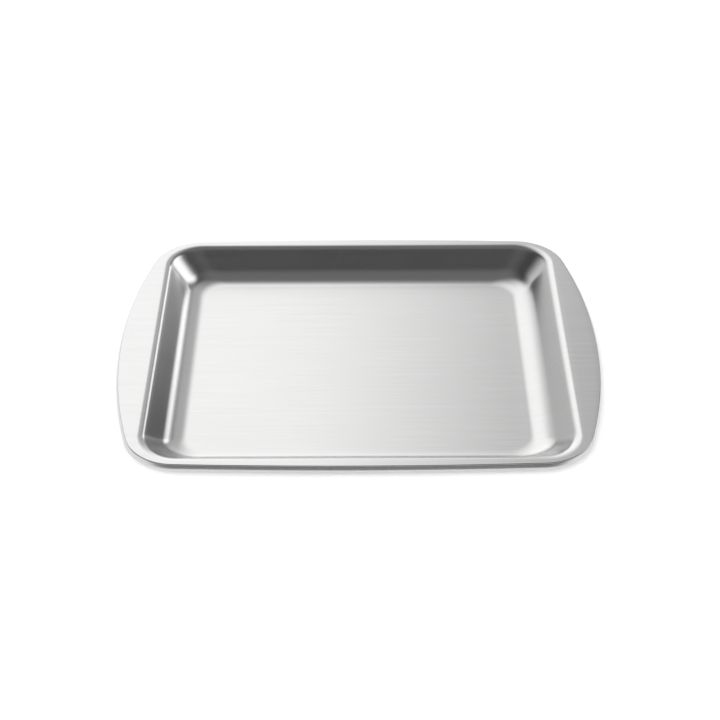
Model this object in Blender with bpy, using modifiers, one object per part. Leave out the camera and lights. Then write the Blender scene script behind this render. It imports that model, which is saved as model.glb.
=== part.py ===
"""Shallow instrument tray with two bow-shaped end handles.

The whole tray is one pressing from a single stainless steel sheet: a flat floor,
a dished wall, a bend, a flat rim that widens into a handle at each end, and an edge
that turns down over a tight bend and rolls under, all the way round.

The long axis is X, with a handle at each end. The base rests on Z = 0 and the
origin is the middle of the base.
"""

import math

import bmesh
import bpy

# Sheet and well. The mouth is where the flat rim begins.
SHEET_THICKNESS = 0.0008
WELL_DEPTH = 0.019
MOUTH_LENGTH = 0.3046
MOUTH_WIDTH = 0.265
MOUTH_CORNER_RADIUS = 0.027
FLOOR_CORNER_RADIUS = 0.018

# Wall section: an arc up from the floor, a straight slope and an arc over to the rim.
WALL_ANGLE = math.radians(44)
FLOOR_FILLET_RADIUS = 0.024
RIM_BEND_RADIUS = 0.008

# Outline of the rim: a wide arc at each end, a nearly straight arc along each side.
OVERALL_LENGTH = 0.351
OVERALL_WIDTH = 0.2794
HANDLE_ARC_RADIUS = 0.408
SIDE_ARC_RADIUS = 3.5
RIM_CORNER_RADIUS = 0.038

# Edge of the rim: a tight bend down, a short steep face, and a roll inwards below it.
# Radii are those of the outer side, and angles are the outer side's slope.
EDGE_BEND_RADIUS = 0.0008
EDGE_FACE_ANGLE = math.radians(68)
EDGE_FACE_HEIGHT = 0.0026
ROLL_RADIUS = 0.0013
ROLL_END_ANGLE = math.radians(250)

# Segments along one quarter of the rim, and across the section.
END_SEGMENTS = 8
CORNER_SEGMENTS = 9
SIDE_SEGMENTS = 3
FILLET_SEGMENTS = 6
BEND_SEGMENTS = 4
EDGE_BEND_SEGMENTS = 4
ROLL_SEGMENTS = 7

MIRROR_MERGE = 0.00001
RIM_HEIGHT = SHEET_THICKNESS + WELL_DEPTH


def steps(start, end, count):
    """Evenly spaced values from start to end, both included."""
    return [start + (end - start) * i / count for i in range(count + 1)]


def arc(centre_x, centre_y, radius, start, end, count):
    """Points along an arc, from the angle start to the angle end."""
    return [
        (centre_x + radius * math.cos(a), centre_y + radius * math.sin(a))
        for a in steps(start, end, count)
    ]


def wall_section():
    """(inset from the mouth, height above the floor) from the floor up to the rim."""
    arcs_run = (FLOOR_FILLET_RADIUS + RIM_BEND_RADIUS) * math.sin(WALL_ANGLE)
    arcs_rise = (FLOOR_FILLET_RADIUS + RIM_BEND_RADIUS) * (1 - math.cos(WALL_ANGLE))
    slope_run = (WELL_DEPTH - arcs_rise) / math.tan(WALL_ANGLE)
    whole_run = arcs_run + slope_run
    fillet = [
        (
            whole_run - FLOOR_FILLET_RADIUS * math.sin(a),
            FLOOR_FILLET_RADIUS * (1 - math.cos(a)),
        )
        for a in steps(0, WALL_ANGLE, FILLET_SEGMENTS)
    ]
    bend = [
        (
            RIM_BEND_RADIUS * math.sin(a),
            WELL_DEPTH - RIM_BEND_RADIUS * (1 - math.cos(a)),
        )
        for a in steps(WALL_ANGLE, 0, BEND_SEGMENTS)
    ]
    return fillet + bend


def well_ring(inset, widest_inset):
    """A quarter of a rounded rectangle, from the +X axis round to the +Y axis.

    Its corner tightens from the mouth down to the floor.
    """
    down = inset / widest_inset
    radius = MOUTH_CORNER_RADIUS + (FLOOR_CORNER_RADIUS - MOUTH_CORNER_RADIUS) * down
    end_x = MOUTH_LENGTH / 2 - inset
    side_y = MOUTH_WIDTH / 2 - inset
    corner_x = end_x - radius
    corner_y = side_y - radius
    end = [(end_x, y) for y in steps(0, corner_y, END_SEGMENTS)]
    corner = arc(corner_x, corner_y, radius, 0, math.pi / 2, CORNER_SEGMENTS)
    side = [(x, side_y) for x in steps(corner_x, 0, SIDE_SEGMENTS)]
    return end + corner[1:-1] + side


def rim_corner_centre(handle_x, side_y):
    """Centre of the corner arc that touches the handle's arc and the side's arc."""
    to_handle = HANDLE_ARC_RADIUS - RIM_CORNER_RADIUS
    to_side = SIDE_ARC_RADIUS - RIM_CORNER_RADIUS
    apart = math.hypot(handle_x, side_y)
    along = (to_handle**2 - to_side**2 + apart**2) / (2 * apart)
    across = math.sqrt(to_handle**2 - along**2)
    direction_x = -handle_x / apart
    direction_y = side_y / apart
    return (
        handle_x + along * direction_x - across * direction_y,
        along * direction_y + across * direction_x,
    )


def rim_ring(offset):
    """A quarter of the rim's outline, moved out by offset, from +X round to +Y."""
    handle_x = OVERALL_LENGTH / 2 - HANDLE_ARC_RADIUS
    side_y = OVERALL_WIDTH / 2 - SIDE_ARC_RADIUS
    corner_x, corner_y = rim_corner_centre(handle_x, side_y)
    handle_end = math.atan2(corner_y, corner_x - handle_x)
    side_start = math.atan2(corner_y - side_y, corner_x)
    end = arc(handle_x, 0, HANDLE_ARC_RADIUS + offset, 0, handle_end, END_SEGMENTS)
    corner = arc(
        corner_x,
        corner_y,
        RIM_CORNER_RADIUS + offset,
        handle_end,
        side_start,
        CORNER_SEGMENTS,
    )
    side = arc(
        0, side_y, SIDE_ARC_RADIUS + offset, side_start, math.pi / 2, SIDE_SEGMENTS
    )
    return end + corner[1:-1] + side


def edge_section():
    """(offset from the outline, height) over the edge's bend and round its roll."""
    bend_to_roll = EDGE_FACE_HEIGHT / math.tan(EDGE_FACE_ANGLE)
    roll_offset = ROLL_RADIUS * (math.sin(EDGE_FACE_ANGLE) - 1)
    bend_offset = roll_offset - bend_to_roll
    bend_drop = EDGE_BEND_RADIUS * (1 - math.cos(EDGE_FACE_ANGLE))
    roll_height = RIM_HEIGHT - bend_drop - EDGE_FACE_HEIGHT
    bend = [
        (
            bend_offset - EDGE_BEND_RADIUS * (math.sin(EDGE_FACE_ANGLE) - math.sin(a)),
            RIM_HEIGHT - EDGE_BEND_RADIUS * (1 - math.cos(a)),
        )
        for a in steps(0, EDGE_FACE_ANGLE, EDGE_BEND_SEGMENTS)
    ]
    roll = [
        (
            ROLL_RADIUS * (math.sin(a) - 1),
            roll_height - ROLL_RADIUS * (math.cos(EDGE_FACE_ANGLE) - math.cos(a)),
        )
        for a in steps(EDGE_FACE_ANGLE, ROLL_END_ANGLE, ROLL_SEGMENTS)
    ]
    return bend + roll


def sheet_rings():
    """Rings of the sheet's upper face, from the floor's edge out to the roll's end."""
    section = wall_section()
    widest_inset = section[0][0]
    rings = [
        [(x, y, SHEET_THICKNESS + height) for x, y in well_ring(inset, widest_inset)]
        for inset, height in section
    ]
    for offset, height in edge_section():
        rings.append([(x, y, height) for x, y in rim_ring(offset)])
    return rings


def sheet_quarter():
    """Mesh of one quarter of the sheet's upper face, open along the two planes."""
    shape = bmesh.new()
    rings = [[shape.verts.new(point) for point in ring] for ring in sheet_rings()]
    centre = shape.verts.new((0, 0, SHEET_THICKNESS))
    shape.faces.new([centre] + rings[0])
    for lower, upper in zip(rings, rings[1:]):
        for i in range(len(lower) - 1):
            shape.faces.new((lower[i], upper[i], upper[i + 1], lower[i + 1]))
    mesh = bpy.data.meshes.new("tray")
    shape.to_mesh(mesh)
    shape.free()
    return mesh


def stainless_steel():
    """Satin stainless steel."""
    material = bpy.data.materials.new("stainless_steel")
    material.use_nodes = True
    shader = material.node_tree.nodes["Principled BSDF"]
    shader.inputs["Base Color"].default_value = (0.62, 0.62, 0.61, 1)
    shader.inputs["Metallic"].default_value = 1.0
    shader.inputs["Roughness"].default_value = 0.3
    return material


def make_tray(collection):
    """The tray: a quarter of the sheet, mirrored twice and given its thickness."""
    tray = bpy.data.objects.new("tray", sheet_quarter())
    collection.objects.link(tray)
    tray.data.materials.append(stainless_steel())
    tray.data.shade_smooth()

    mirror = tray.modifiers.new("four_quarters", "MIRROR")
    mirror.use_axis = (True, True, False)
    mirror.merge_threshold = MIRROR_MERGE

    thickness = tray.modifiers.new("sheet_thickness", "SOLIDIFY")
    thickness.thickness = SHEET_THICKNESS
    thickness.offset = -1
    thickness.use_even_offset = True
    return tray


def main():
    for old in list(bpy.data.objects):
        bpy.data.objects.remove(old)
    collection = bpy.data.collections.new("instrument_tray")
    bpy.context.scene.collection.children.link(collection)
    make_tray(collection)


main()
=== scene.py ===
"""Looks of the instrument tray: its smooth pressed sheet, brushed steel, floor, lights and camera."""

import math

import bmesh
import bpy
from mathutils import Matrix, Vector


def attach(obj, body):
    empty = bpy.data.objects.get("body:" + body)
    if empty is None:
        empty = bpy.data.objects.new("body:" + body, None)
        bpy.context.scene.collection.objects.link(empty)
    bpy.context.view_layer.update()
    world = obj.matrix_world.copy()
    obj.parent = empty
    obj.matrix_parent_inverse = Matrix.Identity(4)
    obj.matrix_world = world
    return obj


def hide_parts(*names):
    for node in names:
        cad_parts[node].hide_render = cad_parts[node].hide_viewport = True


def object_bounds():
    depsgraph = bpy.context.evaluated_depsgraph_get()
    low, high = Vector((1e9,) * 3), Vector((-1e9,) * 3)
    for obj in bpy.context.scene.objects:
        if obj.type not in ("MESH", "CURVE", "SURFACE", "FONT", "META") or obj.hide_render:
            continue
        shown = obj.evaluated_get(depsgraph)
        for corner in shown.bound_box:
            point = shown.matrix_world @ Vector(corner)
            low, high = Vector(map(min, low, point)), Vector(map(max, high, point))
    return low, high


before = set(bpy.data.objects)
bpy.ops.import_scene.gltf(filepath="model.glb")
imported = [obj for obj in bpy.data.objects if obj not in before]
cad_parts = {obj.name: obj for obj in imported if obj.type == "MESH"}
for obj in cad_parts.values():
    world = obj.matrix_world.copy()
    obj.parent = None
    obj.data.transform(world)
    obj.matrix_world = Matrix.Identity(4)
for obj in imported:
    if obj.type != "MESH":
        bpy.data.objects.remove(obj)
cad_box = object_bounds()

# ---------------------------------------------------------------- the tray's shape, in metres
LENGTH = cad_box[1].x - cad_box[0].x
WIDTH = cad_box[1].y - cad_box[0].y
RIM_HEIGHT = cad_box[1].z
SHEET = 0.0008
WELL_DEPTH = RIM_HEIGHT - SHEET
MOUTH_LENGTH = 0.3046
MOUTH_WIDTH = 0.265
MOUTH_CORNER_RADIUS = 0.027
FLOOR_CORNER_RADIUS = 0.018
WALL_ANGLE = math.radians(44)
FILLET_RADIUS = 0.024
BEND_RADIUS = 0.008
HANDLE_ARC_RADIUS = 0.408
SIDE_ARC_RADIUS = 3.5
RIM_CORNER_RADIUS = 0.038
EDGE_BEND_RADIUS = 0.0008
EDGE_FACE_ANGLE = math.radians(68)
EDGE_FACE_HEIGHT = 0.0026
ROLL_RADIUS = 0.0013
ROLL_END_ANGLE = math.radians(250)

END_SEGMENTS = 40
CORNER_SEGMENTS = 36
SIDE_SEGMENTS = 30
FILLET_SEGMENTS = 22
SLOPE_SEGMENTS = 6
BEND_SEGMENTS = 14
RIM_SEGMENTS = 5
EDGE_BEND_SEGMENTS = 10
EDGE_FACE_SEGMENTS = 3
ROLL_SEGMENTS = 20
FLOOR_SEGMENTS = 12

MIRROR_MERGE = 0.00001


def steps(start, end, count):
    """Evenly spaced values from start to end, both included."""
    return [start + (end - start) * i / count for i in range(count + 1)]


def arc(centre_x, centre_y, radius, start, end, count):
    """Points along an arc, from the angle start to the angle end."""
    return [
        (centre_x + radius * math.cos(a), centre_y + radius * math.sin(a))
        for a in steps(start, end, count)
    ]


def wall_section():
    """(inset from the mouth, height above the floor) from the floor up to the rim."""
    arcs = FILLET_RADIUS + BEND_RADIUS
    rise = arcs * (1 - math.cos(WALL_ANGLE))
    run = arcs * math.sin(WALL_ANGLE) + (WELL_DEPTH - rise) / math.tan(WALL_ANGLE)
    fillet = [
        (run - FILLET_RADIUS * math.sin(a), FILLET_RADIUS * (1 - math.cos(a)))
        for a in steps(0, WALL_ANGLE, FILLET_SEGMENTS)
    ]
    bend = [
        (BEND_RADIUS * math.sin(a), WELL_DEPTH - BEND_RADIUS * (1 - math.cos(a)))
        for a in steps(WALL_ANGLE, 0, BEND_SEGMENTS)
    ]
    slope = [
        (
            fillet[-1][0] + (bend[0][0] - fillet[-1][0]) * t,
            fillet[-1][1] + (bend[0][1] - fillet[-1][1]) * t,
        )
        for t in steps(0, 1, SLOPE_SEGMENTS)
    ]
    return fillet + slope[1:-1] + bend


def well_ring(inset, widest_inset):
    """A quarter of a rounded rectangle, from the +X axis round to the +Y axis.

    Its corner tightens from the mouth down to the floor.
    """
    down = inset / widest_inset
    radius = MOUTH_CORNER_RADIUS + (FLOOR_CORNER_RADIUS - MOUTH_CORNER_RADIUS) * down
    end_x = MOUTH_LENGTH / 2 - inset
    side_y = MOUTH_WIDTH / 2 - inset
    corner_x = end_x - radius
    corner_y = side_y - radius
    end = [(end_x, y) for y in steps(0, corner_y, END_SEGMENTS)]
    corner = arc(corner_x, corner_y, radius, 0, math.pi / 2, CORNER_SEGMENTS)
    side = [(x, side_y) for x in steps(corner_x, 0, SIDE_SEGMENTS)]
    return end + corner[1:-1] + side


def rim_corner_centre(handle_x, side_y):
    """Centre of the corner arc that touches the handle's arc and the side's arc."""
    to_handle = HANDLE_ARC_RADIUS - RIM_CORNER_RADIUS
    to_side = SIDE_ARC_RADIUS - RIM_CORNER_RADIUS
    apart = math.hypot(handle_x, side_y)
    along = (to_handle**2 - to_side**2 + apart**2) / (2 * apart)
    across = math.sqrt(to_handle**2 - along**2)
    direction_x = -handle_x / apart
    direction_y = side_y / apart
    return (
        handle_x + along * direction_x - across * direction_y,
        along * direction_y + across * direction_x,
    )


def rim_ring(offset):
    """A quarter of the rim's outline, moved out by offset, from +X round to +Y."""
    handle_x = LENGTH / 2 - HANDLE_ARC_RADIUS
    side_y = WIDTH / 2 - SIDE_ARC_RADIUS
    corner_x, corner_y = rim_corner_centre(handle_x, side_y)
    handle_end = math.atan2(corner_y, corner_x - handle_x)
    side_start = math.atan2(corner_y - side_y, corner_x)
    end = arc(handle_x, 0, HANDLE_ARC_RADIUS + offset, 0, handle_end, END_SEGMENTS)
    corner = arc(
        corner_x, corner_y, RIM_CORNER_RADIUS + offset, handle_end, side_start, CORNER_SEGMENTS
    )
    side = arc(0, side_y, SIDE_ARC_RADIUS + offset, side_start, math.pi / 2, SIDE_SEGMENTS)
    return end + corner[1:-1] + side


def blend_rings(inner, outer, t):
    """A ring between two others: the inner one at t = 0, the outer one at t = 1."""
    return [
        (a[0] + (b[0] - a[0]) * t, a[1] + (b[1] - a[1]) * t) for a, b in zip(inner, outer)
    ]


def edge_section():
    """(offset from the outline, height) over the edge's bend, down and round its roll."""
    bend_to_roll = EDGE_FACE_HEIGHT / math.tan(EDGE_FACE_ANGLE)
    roll_offset = ROLL_RADIUS * (math.sin(EDGE_FACE_ANGLE) - 1)
    bend_offset = roll_offset - bend_to_roll
    bend_drop = EDGE_BEND_RADIUS * (1 - math.cos(EDGE_FACE_ANGLE))
    roll_height = RIM_HEIGHT - bend_drop - EDGE_FACE_HEIGHT
    bend = [
        (
            bend_offset - EDGE_BEND_RADIUS * (math.sin(EDGE_FACE_ANGLE) - math.sin(a)),
            RIM_HEIGHT - EDGE_BEND_RADIUS * (1 - math.cos(a)),
        )
        for a in steps(0, EDGE_FACE_ANGLE, EDGE_BEND_SEGMENTS)
    ]
    face = [
        (bend_offset + bend_to_roll * t, RIM_HEIGHT - bend_drop - EDGE_FACE_HEIGHT * t)
        for t in steps(0, 1, EDGE_FACE_SEGMENTS)
    ]
    roll = [
        (
            ROLL_RADIUS * (math.sin(a) - 1),
            roll_height - ROLL_RADIUS * (math.cos(EDGE_FACE_ANGLE) - math.cos(a)),
        )
        for a in steps(EDGE_FACE_ANGLE, ROLL_END_ANGLE, ROLL_SEGMENTS)
    ]
    return bend + face[1:-1] + roll


def sheet_rings():
    """Rings of the sheet's upper face, from the floor's edge out to the roll's end."""
    section = wall_section()
    widest = section[0][0]
    rings = [
        [(x, y, SHEET + height) for x, y in well_ring(inset, widest)]
        for inset, height in section
    ]
    edge = edge_section()
    mouth = well_ring(0, widest)
    flat_end = rim_ring(edge[0][0])
    for t in steps(0, 1, RIM_SEGMENTS)[1:-1]:
        rings.append([(x, y, RIM_HEIGHT) for x, y in blend_rings(mouth, flat_end, t)])
    for offset, height in edge:
        rings.append([(x, y, height) for x, y in rim_ring(offset)])
    return rings


def floor_rings(edge):
    """Rings inside the floor's edge, growing outwards from the middle."""
    return [
        [(x * t, y * t, SHEET) for x, y, _ in edge] for t in steps(0, 1, FLOOR_SEGMENTS)[1:-1]
    ]


def sheet_quarter():
    """Mesh of one quarter of the sheet's upper face; material 1 is the rolled edge."""
    shape = bmesh.new()
    outer = sheet_rings()
    inner = floor_rings(outer[0])
    rings = [[shape.verts.new(point) for point in ring] for ring in inner + outer]
    centre = shape.verts.new((0, 0, SHEET))
    for i in range(len(rings[0]) - 1):
        shape.faces.new((centre, rings[0][i], rings[0][i + 1]))
    edge_start = len(rings) - len(edge_section())
    for r in range(len(rings) - 1):
        lower = rings[r]
        upper = rings[r + 1]
        for i in range(len(lower) - 1):
            face = shape.faces.new((lower[i], upper[i], upper[i + 1], lower[i + 1]))
            face.material_index = int(r >= edge_start)
    mesh = bpy.data.meshes.new("tray_sheet")
    shape.to_mesh(mesh)
    shape.free()
    return mesh


def make_tray():
    """The tray: a quarter of the sheet, mirrored twice and given its thickness."""
    piece = bpy.data.objects.new("tray_sheet", sheet_quarter())
    bpy.context.scene.collection.objects.link(piece)
    mirror = piece.modifiers.new("mirror", "MIRROR")
    mirror.use_axis = (True, True, False)
    mirror.merge_threshold = MIRROR_MERGE
    solid = piece.modifiers.new("thickness", "SOLIDIFY")
    solid.thickness = SHEET
    solid.offset = -1
    solid.use_even_offset = True
    piece.data.shade_smooth()
    return piece


# ---------------------------------------------------------------- materials
# Noise scales are in cycles per metre along X, Y and Z. The grain runs along X.
GRAIN_SCALE = (14, 1500, 14)
BAND_SCALE = (5, 260, 5)
CLOUD_SCALE = (14, 22, 22)
SCUFF_SCALE = (14, 1100, 14)
SCUFF_TURNS = (-38, 14, 63)
FLOOR_CLOUD_SCALE = (3, 3, 3)

# The part of the noise's range that a ramp spreads out.
NOISE_RANGE = (0.3, 0.7)
SCUFF_RANGE = (0.72, 0.78)

STEEL_TONE = (0.612, 0.648)
STEEL_TINT = (1.0, 1.0, 0.995)
BAND_TONE = (0.987, 1.013)
ROUGHNESS_SWING = 0.006
SCUFF_ROUGHNESS = 0.04
FLOOR_TONE = (0.885, 0.895)


class Nodes:
    """Short names for building a node tree."""

    def __init__(self, name):
        self.material = bpy.data.materials.new(name)
        self.material.use_nodes = True
        self.tree = self.material.node_tree
        self.shader = self.tree.nodes["Principled BSDF"]

    @classmethod
    def of_tree(cls, tree):
        nodes = cls.__new__(cls)
        nodes.tree = tree
        return nodes

    def add(self, kind, **settings):
        node = self.tree.nodes.new(kind)
        for key, value in settings.items():
            setattr(node, key, value)
        return node

    def link(self, output, target):
        self.tree.links.new(output, target)


def noise(n, coords, scale, turn=0.0, detail=3.0):
    """Noise stretched by a different scale along each axis, turned about Z."""
    mapping = n.add("ShaderNodeMapping")
    mapping.vector_type = "TEXTURE"
    mapping.inputs["Rotation"].default_value = (0, 0, math.radians(turn))
    mapping.inputs["Scale"].default_value = [1 / value for value in scale]
    n.link(coords, mapping.inputs["Vector"])
    texture = n.add("ShaderNodeTexNoise")
    texture.inputs["Scale"].default_value = 1.0
    texture.inputs["Detail"].default_value = detail
    texture.inputs["Roughness"].default_value = 0.6
    n.link(mapping.outputs["Vector"], texture.inputs["Vector"])
    return texture.outputs["Fac"]


def ramp(n, value, from_low, from_high, to_low, to_high):
    """Maps the first range onto the second, and clamps outside it."""
    node = n.add("ShaderNodeMapRange")
    node.inputs["From Min"].default_value = from_low
    node.inputs["From Max"].default_value = from_high
    node.inputs["To Min"].default_value = to_low
    node.inputs["To Max"].default_value = to_high
    n.link(value, node.inputs["Value"])
    return node.outputs["Result"]


def maths(n, operation, first, second=0):
    """One maths node; each operand is a number or another node's output."""
    node = n.add("ShaderNodeMath", operation=operation)
    for socket, value in zip(node.inputs, (first, second)):
        if isinstance(value, (int, float)):
            socket.default_value = value
        else:
            n.link(value, socket)
    return node.outputs["Value"]


def grey(n, value, tint=(1.0, 1.0, 1.0)):
    """Turns a brightness into a colour with a slight tint."""
    node = n.add("ShaderNodeCombineColor")
    for socket, share in zip(node.inputs, tint):
        n.link(maths(n, "MULTIPLY", value, share), socket)
    return node.outputs["Color"]


def hairlines(n, coords):
    """A few hair-thin scuffs at odd angles: 1 on a scuff, 0 elsewhere."""
    total = None
    for turn in SCUFF_TURNS:
        line = noise(n, coords, SCUFF_SCALE, turn, detail=1.0)
        line = ramp(n, line, *SCUFF_RANGE, 0, 1)
        total = line if total is None else maths(n, "MAXIMUM", total, line)
    return total


def steel(name, roughness, grain_depth, anisotropy):
    """Stainless steel with a fine grain along X."""
    n = Nodes(name)
    coords = n.add("ShaderNodeTexCoord").outputs["Object"]
    grain = noise(n, coords, GRAIN_SCALE)
    bands = noise(n, coords, BAND_SCALE)
    cloud = noise(n, coords, CLOUD_SCALE, detail=2.0)
    scuffs = hairlines(n, coords)

    low = roughness - ROUGHNESS_SWING
    high = roughness + ROUGHNESS_SWING
    rough = ramp(n, bands, *NOISE_RANGE, low, high)
    swing = ramp(n, cloud, *NOISE_RANGE, -ROUGHNESS_SWING, ROUGHNESS_SWING)
    rough = maths(n, "ADD", rough, swing)
    rough = maths(n, "ADD", rough, maths(n, "MULTIPLY", scuffs, SCUFF_ROUGHNESS))
    n.link(rough, n.shader.inputs["Roughness"])

    tone = ramp(n, grain, *NOISE_RANGE, *STEEL_TONE)
    tone = maths(n, "MULTIPLY", tone, ramp(n, bands, *NOISE_RANGE, *BAND_TONE))
    n.link(grey(n, tone, STEEL_TINT), n.shader.inputs["Base Color"])

    bump = n.add("ShaderNodeBump")
    bump.inputs["Strength"].default_value = 1.0
    bump.inputs["Distance"].default_value = grain_depth
    n.link(maths(n, "SUBTRACT", grain, scuffs), bump.inputs["Height"])
    n.link(bump.outputs["Normal"], n.shader.inputs["Normal"])

    n.shader.inputs["Metallic"].default_value = 1.0
    n.shader.inputs["Anisotropic"].default_value = anisotropy
    tangent = n.add("ShaderNodeCombineXYZ")
    tangent.inputs["Y"].default_value = 1.0
    n.link(tangent.outputs["Vector"], n.shader.inputs["Tangent"])
    return n.material


def pale_floor():
    """Matt white paper under the tray."""
    n = Nodes("pale_floor")
    coords = n.add("ShaderNodeTexCoord").outputs["Object"]
    tone = ramp(n, noise(n, coords, FLOOR_CLOUD_SCALE), *NOISE_RANGE, *FLOOR_TONE)
    n.link(grey(n, tone), n.shader.inputs["Base Color"])
    n.shader.inputs["Roughness"].default_value = 0.9
    n.shader.inputs["Specular IOR Level"].default_value = 0.1
    return n.material


# ---------------------------------------------------------------- stage, lights, camera
FLOOR_HALF_SIZE = 40
FLOOR_GAP = 0.0002


def make_floor():
    mesh = bpy.data.meshes.new("floor")
    shape = bmesh.new()
    bmesh.ops.create_grid(shape, x_segments=1, y_segments=1, size=FLOOR_HALF_SIZE)
    shape.to_mesh(mesh)
    shape.free()
    floor = bpy.data.objects.new("floor", mesh)
    floor.location.z = cad_box[0].z - FLOOR_GAP
    bpy.context.scene.collection.objects.link(floor)
    mesh.materials.append(pale_floor())


# The studio as the tray sees it: soft bright panels on grey surroundings. Azimuth 0 is
# +Y and 90 is +X. Widths, heights and the softness of their edges are in degrees.
# (azimuth, width, elevation, height, side softness, top softness, radiance)
PANELS = {
    "main": (-15, 38, 28, 56, 18, 28, 0.85),
    "centre": (-2, 66, 36, 44, 12, 34, 0.57),
    "low": (0, 40, 6, 26, 12, 14, 0.5),
    "left": (-57, 42, 18, 38, 24, 30, 0.8),
    "right_strip": (32.5, 11, 16, 13, 4, 4, 1.9),
    "right_tall": (57, 26, 36, 34, 10, 10, 1.8),
}
# Radiance of the rest of the studio, and where each part of it begins and ends. Each
# pair is the elevation, or for FRONT_SIDES the azimuth, where it is 0 and where it is full.
SURROUNDINGS = 0.05
OVERHEAD = 0.12
OVERHEAD_RISE = (50, 70)
ZENITH = 0.08
ZENITH_RISE = (60, 80)
FRONT_SIDES = (70, 105)
FRONT_WALL = 0.12
FRONT_WALL_TOP = (52, 34)
FRONT_PANELS = 0.9
FRONT_PANELS_BOTTOM = (10, 22)
FRONT_PANELS_TOP = (46, 34)

# The key light: a broad sun from the camera's side.
KEY_ENERGY = 3.6
KEY_SPREAD = math.radians(24)
KEY_TILT = math.radians(48)
KEY_LEAN = math.radians(-4)

# The camera, relative to the middle of the rim's plane.
CAMERA_TILT = math.radians(37)
CAMERA_ROLL = math.radians(0.21)
CAMERA_RIGHT = 0.00065865
CAMERA_DOWN = 0.0127299
CAMERA_DISTANCE = 1.2033
CAMERA_LENS = 82.1
CAMERA_SENSOR = 36


def smooth_step(n, value, from_edge, to_edge):
    """Falls or rises smoothly from 0 at from_edge to 1 at to_edge."""
    node = n.add("ShaderNodeMapRange")
    node.interpolation_type = "SMOOTHSTEP"
    falling = from_edge > to_edge
    node.inputs["From Min"].default_value = min(from_edge, to_edge)
    node.inputs["From Max"].default_value = max(from_edge, to_edge)
    node.inputs["To Min"].default_value = 1.0 if falling else 0.0
    node.inputs["To Max"].default_value = 0.0 if falling else 1.0
    n.link(value, node.inputs["Value"])
    return node.outputs["Result"]


def panel_light(n, azimuth, elevation, shape):
    """Radiance of one panel: full inside, fading out across its soft edges."""
    centre, width, middle, height, side_soft, top_soft, radiance = shape
    across = maths(n, "ABSOLUTE", maths(n, "SUBTRACT", azimuth, centre))
    upwards = maths(n, "ABSOLUTE", maths(n, "SUBTRACT", elevation, middle))
    inside = maths(
        n,
        "MULTIPLY",
        smooth_step(n, across, (width + side_soft) / 2, (width - side_soft) / 2),
        smooth_step(n, upwards, (height + top_soft) / 2, (height - top_soft) / 2),
    )
    return maths(n, "MULTIPLY", inside, radiance)


def make_world():
    """The studio: grey surroundings, a wall and panels in front, and the soft panels."""
    world = bpy.data.worlds.new("studio")
    world.use_nodes = True
    n = Nodes.of_tree(world.node_tree)
    towards = n.add("ShaderNodeSeparateXYZ")
    n.link(n.add("ShaderNodeTexCoord").outputs["Generated"], towards.inputs["Vector"])
    azimuth = maths(n, "ARCTAN2", towards.outputs["X"], towards.outputs["Y"])
    azimuth = maths(n, "MULTIPLY", azimuth, math.degrees(1))
    elevation = maths(n, "ARCSINE", towards.outputs["Z"])
    elevation = maths(n, "MULTIPLY", elevation, math.degrees(1))

    overhead = smooth_step(n, elevation, *OVERHEAD_RISE)
    total = maths(n, "MULTIPLY", overhead, OVERHEAD - SURROUNDINGS)
    total = maths(n, "ADD", total, SURROUNDINGS)
    zenith = maths(n, "MULTIPLY", smooth_step(n, elevation, *ZENITH_RISE), ZENITH)
    total = maths(n, "ADD", total, zenith)

    front = smooth_step(n, maths(n, "ABSOLUTE", azimuth), *FRONT_SIDES)
    wall = smooth_step(n, elevation, *FRONT_WALL_TOP)
    wall = maths(n, "MULTIPLY", wall, FRONT_WALL)
    panels = maths(
        n,
        "MULTIPLY",
        smooth_step(n, elevation, *FRONT_PANELS_BOTTOM),
        smooth_step(n, elevation, *FRONT_PANELS_TOP),
    )
    wall = maths(n, "ADD", wall, maths(n, "MULTIPLY", panels, FRONT_PANELS))
    total = maths(n, "ADD", total, maths(n, "MULTIPLY", front, wall))

    for shape in PANELS.values():
        total = maths(n, "ADD", total, panel_light(n, azimuth, elevation, shape))
    background = world.node_tree.nodes["Background"]
    n.link(total, background.inputs["Strength"])
    background.inputs["Color"].default_value = (1, 1, 1, 1)
    bpy.context.scene.world = world


def make_key_light():
    """Broad soft light on the floor only, so that the panels alone shape the steel."""
    light = bpy.data.lights.new("key", "SUN")
    light.energy = KEY_ENERGY
    light.angle = KEY_SPREAD
    lamp = bpy.data.objects.new("key", light)
    lamp.rotation_euler = (KEY_TILT, KEY_LEAN, 0)
    lamp.visible_glossy = False
    bpy.context.scene.collection.objects.link(lamp)


def make_camera():
    """Looks down at the tray from the front."""
    right = Vector((1, 0, 0))
    forward = Vector((0, math.cos(CAMERA_TILT), -math.sin(CAMERA_TILT)))
    up = Vector((0, math.sin(CAMERA_TILT), math.cos(CAMERA_TILT)))
    camera_right = math.cos(CAMERA_ROLL) * right - math.sin(CAMERA_ROLL) * up
    camera_up = math.sin(CAMERA_ROLL) * right + math.cos(CAMERA_ROLL) * up
    place = CAMERA_RIGHT * right - CAMERA_DOWN * up - CAMERA_DISTANCE * forward
    place.z += RIM_HEIGHT

    camera = bpy.data.objects.new("camera", bpy.data.cameras.new("camera"))
    bpy.context.scene.collection.objects.link(camera)
    turn = Matrix((camera_right, camera_up, -forward)).transposed()
    camera.matrix_world = Matrix.Translation(place) @ turn.to_4x4()
    camera.data.lens = CAMERA_LENS
    camera.data.sensor_width = CAMERA_SENSOR
    bpy.context.scene.camera = camera


# ---------------------------------------------------------------- build
tray = make_tray()
brushed = steel("brushed_steel", roughness=0.2, grain_depth=0.000002, anisotropy=0.5)
polished = steel("polished_edge", roughness=0.16, grain_depth=0.000001, anisotropy=0.0)
tray.data.materials.append(brushed)
tray.data.materials.append(polished)
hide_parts("tray")
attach(tray, "root")

make_floor()
make_world()
make_key_light()
make_camera()
bpy.context.scene.view_settings.view_transform = "Standard"
